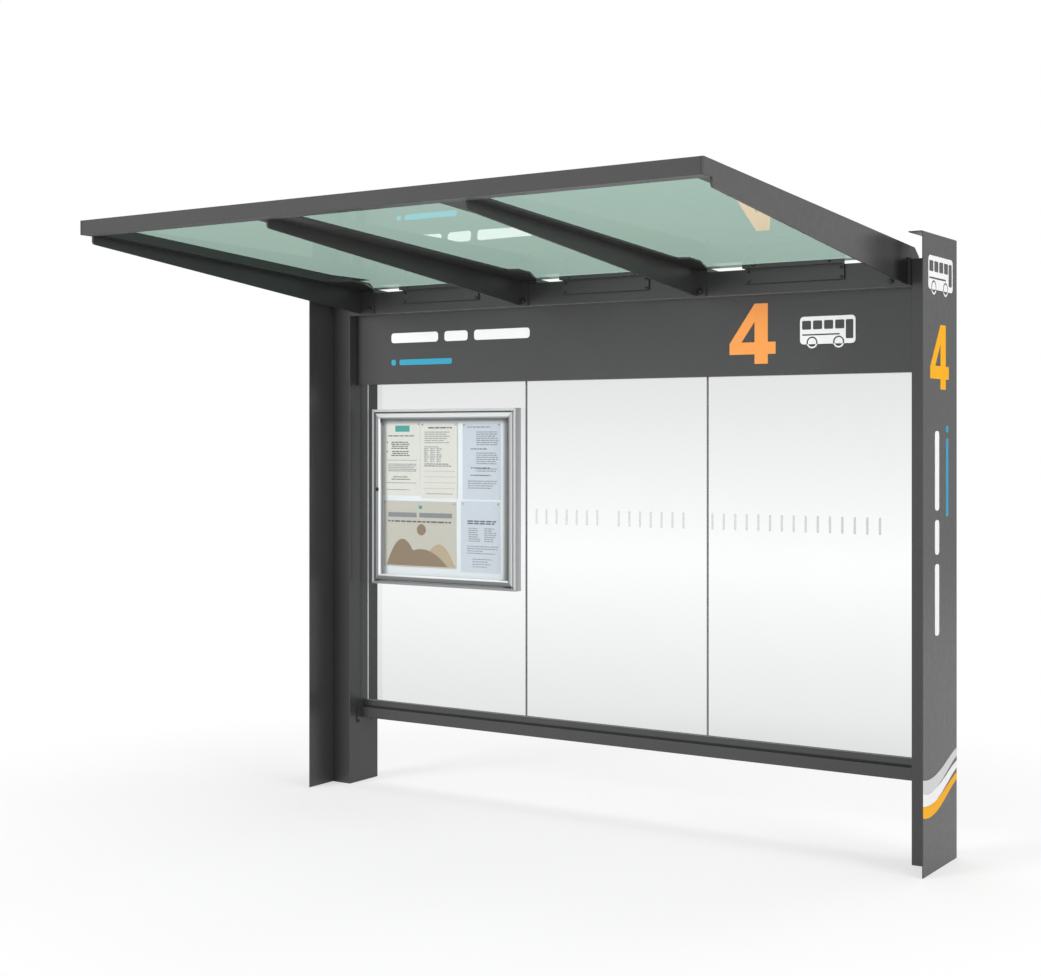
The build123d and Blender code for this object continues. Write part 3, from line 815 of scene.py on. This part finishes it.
for rafter, places in bolt_places.items():
    mesh = mesh_of(rafter_bolts, places)
    add_piece(rafter + "_bolts", mesh, dark_bolt, SHELTER, smooth=True)
for place, corners in zip(PLACES, brackets):
    mesh = mesh_of(bracket_screws, *corners)
    add_piece("bracket_screws_" + place, mesh, dark_bolt, SHELTER, smooth=True)
for side, inward, corners in zip(("left", "right"), (1, -1), rail_brackets):
    mesh = mesh_of(rail_bracket_screws, *corners, inward)
    add_piece(side + "_rail_bracket_screws", mesh, dark_bolt, SHELTER, smooth=True)

# ---------------------------------------------------------------- seals
roof_low, roof_high = roof_panes[0]


def roof_height(y):
    """Height of the roof panes' underside."""
    return roof_low.z + (roof_high.y - y) * ROOF_SLOPE


def roof_joint(bm, left, right):
    """A rubber strip between two panes, crowned a little above them, following the slope."""
    middle, half = (left + right) / 2, (right - left) / 2
    lip, crown = ROOF_GLASS + 0.0002, ROOF_GLASS + 0.0016
    outline = [
        (-half, 0.0005), (half, 0.0005), (half, ROOF_GLASS), (half + 0.002, lip),
        (half * 0.5, crown), (-half * 0.5, crown), (-half - 0.002, lip), (-half, ROOF_GLASS),
    ]
    front = (middle, roof_low.y, roof_height(roof_low.y))
    strip(bm, outline, front, (middle, roof_high.y - 0.002, roof_height(roof_high.y)))


def roof_joints(bm):
    for first, second in zip(roof_panes, roof_panes[1:]):
        roof_joint(bm, first[1].x, second[0].x)
    roof_joint(bm, roof_left + RAFTER_WEB, roof_low.x)
    roof_joint(bm, roof_panes[2][1].x, roof_right - RAFTER_WEB)


add_piece("roof_pane_seals", mesh_of(roof_joints), rubber, SHELTER)


def front_seals(bm):
    """The bead under the panes' front edges, between them and the fascia's fold."""
    y = roof_low.y + 0.018
    z = roof_height(y)
    outline = [
        (-0.010, -0.0078), (0.010, -0.0078), (0.010, -0.001),
        (0.006, -0.0003), (-0.006, -0.0003), (-0.010, -0.001),
    ]
    runs = (                # between the rafters' end plates
        (roof_left + 0.060, web_middles[1] - 0.062),
        (web_middles[1] + 0.122, web_middles[2] - 0.122),
        (web_middles[2] + 0.062, roof_right - 0.060),
    )
    for left, right in runs:
        strip(bm, outline, (left, y, z), (right, y, z))


add_piece("roof_front_seals", mesh_of(front_seals), grey_silicone, SHELTER)


def wall_joints(bm):
    """Silicone between the wall panes, a little behind their faces."""
    low, high = wall_panes[0]
    half, middle = (high.y - low.y) / 2 - 0.0006, (low.y + high.y) / 2
    for first, second in zip(wall_panes, wall_panes[1:]):
        left, right = first[1].x, second[0].x
        bar(bm, (left, middle - half, sill_high.z - 0.002), (right, middle + half, first[1].z))


add_piece("wall_pane_joints", mesh_of(wall_joints), grey_silicone, SHELTER)


def wall_gaskets(bm):
    """Wedge gaskets on both sides of the panes, at the sill and in the head channel."""
    left, right = wall_panes[0][0].x, wall_panes[2][1].x
    sill = [(0, -0.012), (0.002, -0.012), (0.002, 0), (0.0045, 0.0005), (0.002, 0.003), (0, 0.004)]
    head = [(0, -0.003), (0.002, 0), (0.002, 0.012), (0, 0.012)]
    for face, outward in ((wall_panes[0][0].y, 1), (wall_panes[0][1].y, -1)):
        for outline, z in ((sill, sill_high.z), (head, head_low.z)):
            strip(bm, [(outward * a, b) for a, b in outline], (left, face, z), (right, face, z))


add_piece("wall_gaskets", mesh_of(wall_gaskets), grey_silicone, SHELTER)


def painted_shade_strips(bm):
    """Dark rubber strips as painted shade: under the sill, below the glass brackets and on the rail
    brackets' front edges.
    """
    for near in (sill_low.y + 0.001, sill_high.y - 0.004):
        bar(bm, (sill_low.x, near, sill_low.z), (sill_high.x, near + 0.003, sill_low.z + 0.008))
    for low, high in brackets:
        bar(bm, (low.x, high.y - 0.0075, low.z - 0.0035), (high.x, high.y, low.z))
    for low, high in rail_brackets:
        bar(bm, (low.x, low.y - 0.001, low.z + 0.004), (high.x, low.y, high.z - 0.024))


add_piece("painted_shade_strips", mesh_of(painted_shade_strips), rubber, SHELTER)

# ---------------------------------------------------------------- showcase
LINING = 0.0012             # thickness of the door's glazing bead
LOCK_RADIUS = 0.006         # of the lock's round head


def door_lining(bm):
    """The white glazing bead inside the door frame, in front of the pane."""
    front, back = door_low.y + BEVEL_DEPTH + 0.0005, door_low.y + DOOR_LIP
    inner_left, inner_right = opening_left + LINING, opening_right - LINING
    bar(bm, (opening_left, front, opening_bottom), (inner_left, back, opening_top))
    bar(bm, (inner_right, front, opening_bottom), (opening_right, back, opening_top))
    bar(bm, (inner_left, front, opening_bottom), (inner_right, back, opening_bottom + LINING))
    bar(bm, (inner_left, front, opening_top - LINING), (inner_right, back, opening_top))


def lock_rosette(bm):
    """A pressed ring round the lock's head."""
    place = ((lock_low.x + lock_high.x) / 2, door_low.y, lock_high.z - LOCK_RADIUS)
    inner, outer = LOCK_RADIUS + 0.0002, 0.0095
    profile = [
        (inner, 0), (outer, 0), (outer, 0.0006),
        (outer - 0.0008, 0.0011), (inner + 0.0006, 0.0011), (inner, 0.0006),
    ]
    lathe(bm, profile, place, TO_FRONT, sides=32, ring=True)


add_piece("door_lining", mesh_of(door_lining), white_seal, DOOR)
add_piece("lock_rosette", mesh_of(lock_rosette), lock_black, DOOR, smooth=True)


class Notice:
    """A sheet pinned to the board, bowed a little, with its printing laid on it.

    Its places are x and z in the shared frame. Material 0 is the paper, and the inks follow.
    """

    PRINT = 0.0002              # height of the printing over the paper
    COLUMN, ROW = 0.022, 0.05   # largest faces of the bowed sheet

    def __init__(self, left, bottom, right, top, bow, lift):
        self.left, self.bottom, self.right, self.top = left, bottom, right, top
        self.bow, self.lift = bow, lift
        self.bm = bmesh.new()
        self.patch(left, bottom, right, top, 0, 0.0)

    def place(self, x, z, proud):
        """The point of the bowed sheet over x, z on the board."""
        across = (x - self.left) / (self.right - self.left)
        up = (z - self.bottom) / (self.top - self.bottom)
        arch = 0.35 + 0.65 * math.sin(math.pi * across)
        out = self.lift + self.bow * arch * (1 - 0.6 * up) * (1 - 0.3 * (1 - up))
        return (x, board_low.y - out - proud, z)

    def patch(self, left, bottom, right, top, material, proud=PRINT):
        """A rectangle on the sheet, divided finely enough to follow its bow."""
        columns = max(1, math.ceil((right - left) / self.COLUMN))
        rows = max(1, math.ceil((top - bottom) / self.ROW))
        grid = []
        for row in range(rows + 1):
            z = bottom + (top - bottom) * row / rows
            xs = [left + (right - left) * column / columns for column in range(columns + 1)]
            grid.append([self.bm.verts.new(self.place(x, z, proud)) for x in xs])
        for low_row, high_row in zip(grid, grid[1:]):
            for index in range(columns):
                corners = (low_row[index], low_row[index + 1], high_row[index + 1], high_row[index])
                self.bm.faces.new(corners).material_index = material

    def text(self, left, right, top, lines, pitch, height, material, ragged, centred=False):
        """Lines of word-long dashes in place of text, each shorter by up to its part ragged."""
        for line in range(lines):
            z = top - line * pitch
            reach = (right - left) * (1 - ragged * chance.random())
            x = left + ((right - left - reach) / 2 if centred else 0)
            end = x + reach
            while x < end - height:
                word = min(height * chance.uniform(1.6, 5.5), end - x)
                self.patch(x, z - height, x + word, z, material)
                x += word + height * 0.8

    def finish(self, name, sheet_paper):
        mesh = bpy.data.meshes.new(name)
        self.bm.to_mesh(mesh)
        self.bm.free()
        add_piece(name, mesh, [sheet_paper, *inks], SHELTER)


chance = random.Random(11)
inks = (ink_black, ink_grey, ink_teal, ink_brown, ink_tan)
BLACK, GREY, TEAL, BROWN, TAN = range(1, 6)

sheet = Notice(0.171, 1.364, 0.392, 1.706, 0.0030, 0.0006)
sheet.patch(0.246, 1.662, 0.330, 1.691, TEAL)
sheet.text(0.205, 0.365, 1.646, 1, 0.010, 0.0065, GREY, 0.0)
for top, lines in ((1.615, 4), (1.572, 3)):
    sheet.patch(0.196, top - 0.006, 0.203, top, BLACK)
    sheet.text(0.222, 0.330, top, lines, 0.0095, 0.0048, BLACK, 0.15, centred=True)
sheet.text(0.196, 0.372, 1.530, 1, 0.01, 0.003, GREY, 0.0)
sheet.text(0.205, 0.372, 1.512, 5, 0.0080, 0.0042, GREY, 0.1)
sheet.text(0.220, 0.340, 1.452, 2, 0.011, 0.0042, BLACK, 0.3, centred=True)
sheet.text(0.196, 0.372, 1.424, 1, 0.010, 0.0035, GREY, 0.3)
sheet.text(0.196, 0.350, 1.392, 1, 0.010, 0.0035, GREY, 0.2)
sheet.finish("notice_1", warm_paper)

sheet = Notice(0.398, 1.354, 0.606, 1.704, 0.0036, 0.0016)
sheet.text(0.440, 0.575, 1.683, 1, 0.01, 0.0062, BLACK, 0.0, centred=True)
sheet.text(0.418, 0.600, 1.662, 6, 0.0098, 0.0040, GREY, 0.45)
sheet.patch(0.416, 1.590, 0.500, 1.5925, BLACK)
for column in (0.416, 0.452, 0.488):
    sheet.text(column, column + 0.030, 1.585, 8, 0.0085, 0.0040, GREY, 0.3)
sheet.text(0.416, 0.590, 1.514, 2, 0.009, 0.0040, BLACK, 0.2)
for rule in (1.478, 1.452, 1.425, 1.398):
    sheet.patch(0.412, rule, 0.594, rule + 0.0012, GREY)
sheet.text(0.430, 0.590, 1.376, 1, 0.01, 0.0035, GREY, 0.1)
sheet.finish("notice_2", warm_paper)

sheet = Notice(0.634, 1.352, 0.846, 1.700, 0.0024, 0.0006)
sheet.text(0.660, 0.790, 1.685, 1, 0.01, 0.0050, GREY, 0.0)
for top, lines in ((1.662, 7), (1.566, 6), (1.494, 2)):
    sheet.text(0.712, 0.836, top, lines, 0.0096, 0.0044, GREY, 0.12)
    sheet.text(0.680, 0.790, top - lines * 0.0096 - 0.010, 1, 0.01, 0.0046, BLACK, 0.2)
sheet.text(0.664, 0.834, 1.438, 4, 0.0105, 0.0044, GREY, 0.25)
sheet.finish("notice_3", cool_paper)

sheet = Notice(0.624, 1.018, 0.842, 1.344, 0.0024, 0.0006)
sheet.text(0.662, 0.826, 1.256, 2, 0.0105, 0.0062, BLACK, 0.1)
for column in (0.668, 0.756):
    sheet.text(column, column + 0.066, 1.222, 7, 0.0096, 0.0042, GREY, 0.35)
sheet.text(0.660, 0.832, 1.140, 4, 0.0105, 0.0040, GREY, 0.5)
sheet.text(0.690, 0.832, 1.082, 4, 0.0115, 0.0040, GREY, 0.5)
sheet.finish("notice_4", cool_paper)

# a plain poster: a heading over a plain disc and a row of low hills in browns
HILL_STEPS, DISC_STEPS = 40, 12
HILL_FOOT = 1.036
DISC_MIDDLE, DISC_FOOT, DISC_RADIUS = 0.400, 1.179, 0.026
hills = (                   # middle, crest, half width, ink, height over the paper
    (0.290, 1.160, 0.094, BROWN, 0.0002),
    (0.500, 1.140, 0.092, TAN, 0.0002),
    (0.400, 1.115, 0.150, BROWN, 0.0003),
)
sheet = Notice(0.180, 1.029, 0.598, 1.338, 0.0042, 0.0008)
sheet.patch(0.205, 1.262, 0.372, 1.284, GREY)
sheet.patch(0.388, 1.262, 0.575, 1.284, GREY)
sheet.text(0.205, 0.575, 1.246, 1, 0.01, 0.0072, BLACK, 0.0)
for middle, crest, reach, ink, proud in hills:
    wide = 2 * reach / HILL_STEPS
    for step in range(HILL_STEPS):
        from_middle = (step + 0.5) * 2 / HILL_STEPS - 1
        left = middle - reach + step * wide
        top = HILL_FOOT + (crest - HILL_FOOT) * (1 - from_middle ** 2)
        sheet.patch(left, HILL_FOOT, left + wide, top, ink, proud)
high = 2 * DISC_RADIUS / DISC_STEPS
for step in range(DISC_STEPS):
    from_middle = (step + 0.5) * 2 / DISC_STEPS - 1
    half, low = DISC_RADIUS * math.sqrt(1 - from_middle ** 2), DISC_FOOT + step * high
    sheet.patch(DISC_MIDDLE - half, low, DISC_MIDDLE + half, low + high, BROWN)
sheet.patch(0.384, 1.302, 0.404, 1.318, TEAL)
sheet.finish("notice_poster", beige_paper)

pins = (                    # x and z of their middles
    (0.178, 1.697), (0.384, 1.697), (0.406, 1.694), (0.597, 1.694), (0.644, 1.691), (0.836, 1.691),
    (0.188, 1.328), (0.588, 1.328), (0.636, 1.332), (0.832, 1.332), (0.588, 1.040),
)


def pin_heads(bm):
    profile = [(0.0046, 0), (0.0046, 0.0008), (0.0040, 0.0022), (0.0024, 0.0030), (0.0008, 0.0033)]
    for x, z in pins:
        lathe(bm, profile, (x, board_low.y - 0.0040, z), TO_FRONT, sides=20)


add_piece("notice_pins", mesh_of(pin_heads), pin_steel, SHELTER, smooth=True)

# ---------------------------------------------------------------- studio
WHITE = (1, 1, 1)
AMBIENT = 0.36              # strength of the light from all round
FLOOR_GREY = (0.42, 0.42, 0.42)
FLOOR_GLOW = 0.56           # brightens the floor round the shelter where it is seen
FLOOR_FADE = (2.0, 3.6)     # distances from its middle over which it turns plain white
AIM = (1.4, -0.4, 1.3)      # the place in the shelter that all lamps but the top one face


def floor_material():
    """White to the eye and in reflections, with the shelter's shadow near it; grey to the lamps."""
    n = Nodes("studio_floor")
    seen = n.shown()
    x, y, _ = n.axes()
    from_x, from_y = n.math("SUBTRACT", x, roof_middle), n.math("ADD", y, 0.6)
    squares = [n.math("MULTIPLY", part, part) for part in (from_x, from_y)]
    away = n.math("SQRT", n.math("ADD", *squares))
    far = n.math("MULTIPLY", n.span(away, *FLOOR_FADE, 0, 1, smooth=True), seen)
    lit = n.add("ShaderNodeBsdfDiffuse", Color=FLOOR_GREY).outputs[0]
    near = n.add("ShaderNodeAddShader")
    n.put(near.inputs[0], lit)
    n.put(near.inputs[1], n.glow(WHITE, n.math("MULTIPLY", seen, FLOOR_GLOW)))
    return n.finish(n.mix_shaders(far, near.outputs[0], n.glow(WHITE)))


floor_mesh = bpy.data.meshes.new("studio_floor")
floor_mesh.from_pydata([(-60, -60, 0), (60, -60, 0), (60, 60, 0), (-60, 60, 0)], [], [(0, 1, 2, 3)])
floor = bpy.data.objects.new("studio_floor", floor_mesh)
floor.location.z = -0.001
bpy.context.scene.collection.objects.link(floor)
floor_mesh.materials.append(floor_material())


def flag(name, start, end, top, light, fade):
    """A grey card between two places on the floor, seen only in reflections, as a studio flag.

    It fades out over the distance fade from its upper edge and its two ends.
    """
    n = Nodes(name)
    place = n.add("ShaderNodeTexCoord").outputs["Generated"]
    along, _, up = n.add("ShaderNodeSeparateXYZ", Vector=place).outputs
    length = math.hypot(end[0] - start[0], end[1] - start[1])
    from_end = n.math("MULTIPLY", n.math("MINIMUM", along, n.math("SUBTRACT", 1.0, along)), length)
    from_top = n.math("MULTIPLY", n.math("SUBTRACT", 1.0, up), top)
    cover = n.span(n.math("MINIMUM", from_end, from_top), 0.0, fade, 0, 1)
    clear = n.add("ShaderNodeBsdfTransparent").outputs[0]
    mesh = bpy.data.meshes.new(name)
    mesh.from_pydata([(*start, 0), (*end, 0), (*end, top), (*start, top)], [], [(0, 1, 2, 3)])
    card = bpy.data.objects.new(name, mesh)
    bpy.context.scene.collection.objects.link(card)
    mesh.materials.append(n.finish(n.mix_shaders(cover, clear, n.glow(tone(WHITE, light)))))
    for kind in ("camera", "diffuse", "transmission", "shadow", "volume_scatter"):
        setattr(card, "visible_" + kind, False)


flag("flag_left", (-5.0, -3.0), (-2.2, 4.5), 2.6, 0.10, 0.05)
flag("flag_rear", (2.0, 9.5), (6.8, 9.5), 7.0, 0.35, 1.4)

world = bpy.data.worlds.new("studio")
bpy.context.scene.world = world
n = Nodes("studio", world)
lighting = n.add("ShaderNodeBackground", Color=WHITE, Strength=AMBIENT).outputs[0]
backdrop = n.add("ShaderNodeBackground", Color=WHITE, Strength=1.0).outputs[0]
n.finish(n.mix_shaders(n.shown(), lighting, backdrop))


def area_light(name, place, target, size, power):
    """A square lamp, left out of reflections."""
    data = bpy.data.lights.new(name, "AREA")
    data.shape = "SQUARE"
    data.size = size
    data.energy = power
    light = bpy.data.objects.new(name, data)
    light.location = place
    light.rotation_euler = (Vector(target) - Vector(place)).to_track_quat("-Z", "Y").to_euler()
    bpy.context.scene.collection.objects.link(light)
    light.visible_glossy = False


area_light("key", (-3.4, -10.0, 3.2), AIM, 5.0, 960)
area_light("fill", (4.6, -8.5, 1.9), AIM, 3.0, 140)
area_light("side", (9.5, -2.0, 2.6), AIM, 4.0, 330)
area_light("top", (2.0, 2.0, 9.0), (1.4, 0.0, 1.3), 5.0, 300)

bpy.context.scene.view_settings.view_transform = "Standard"
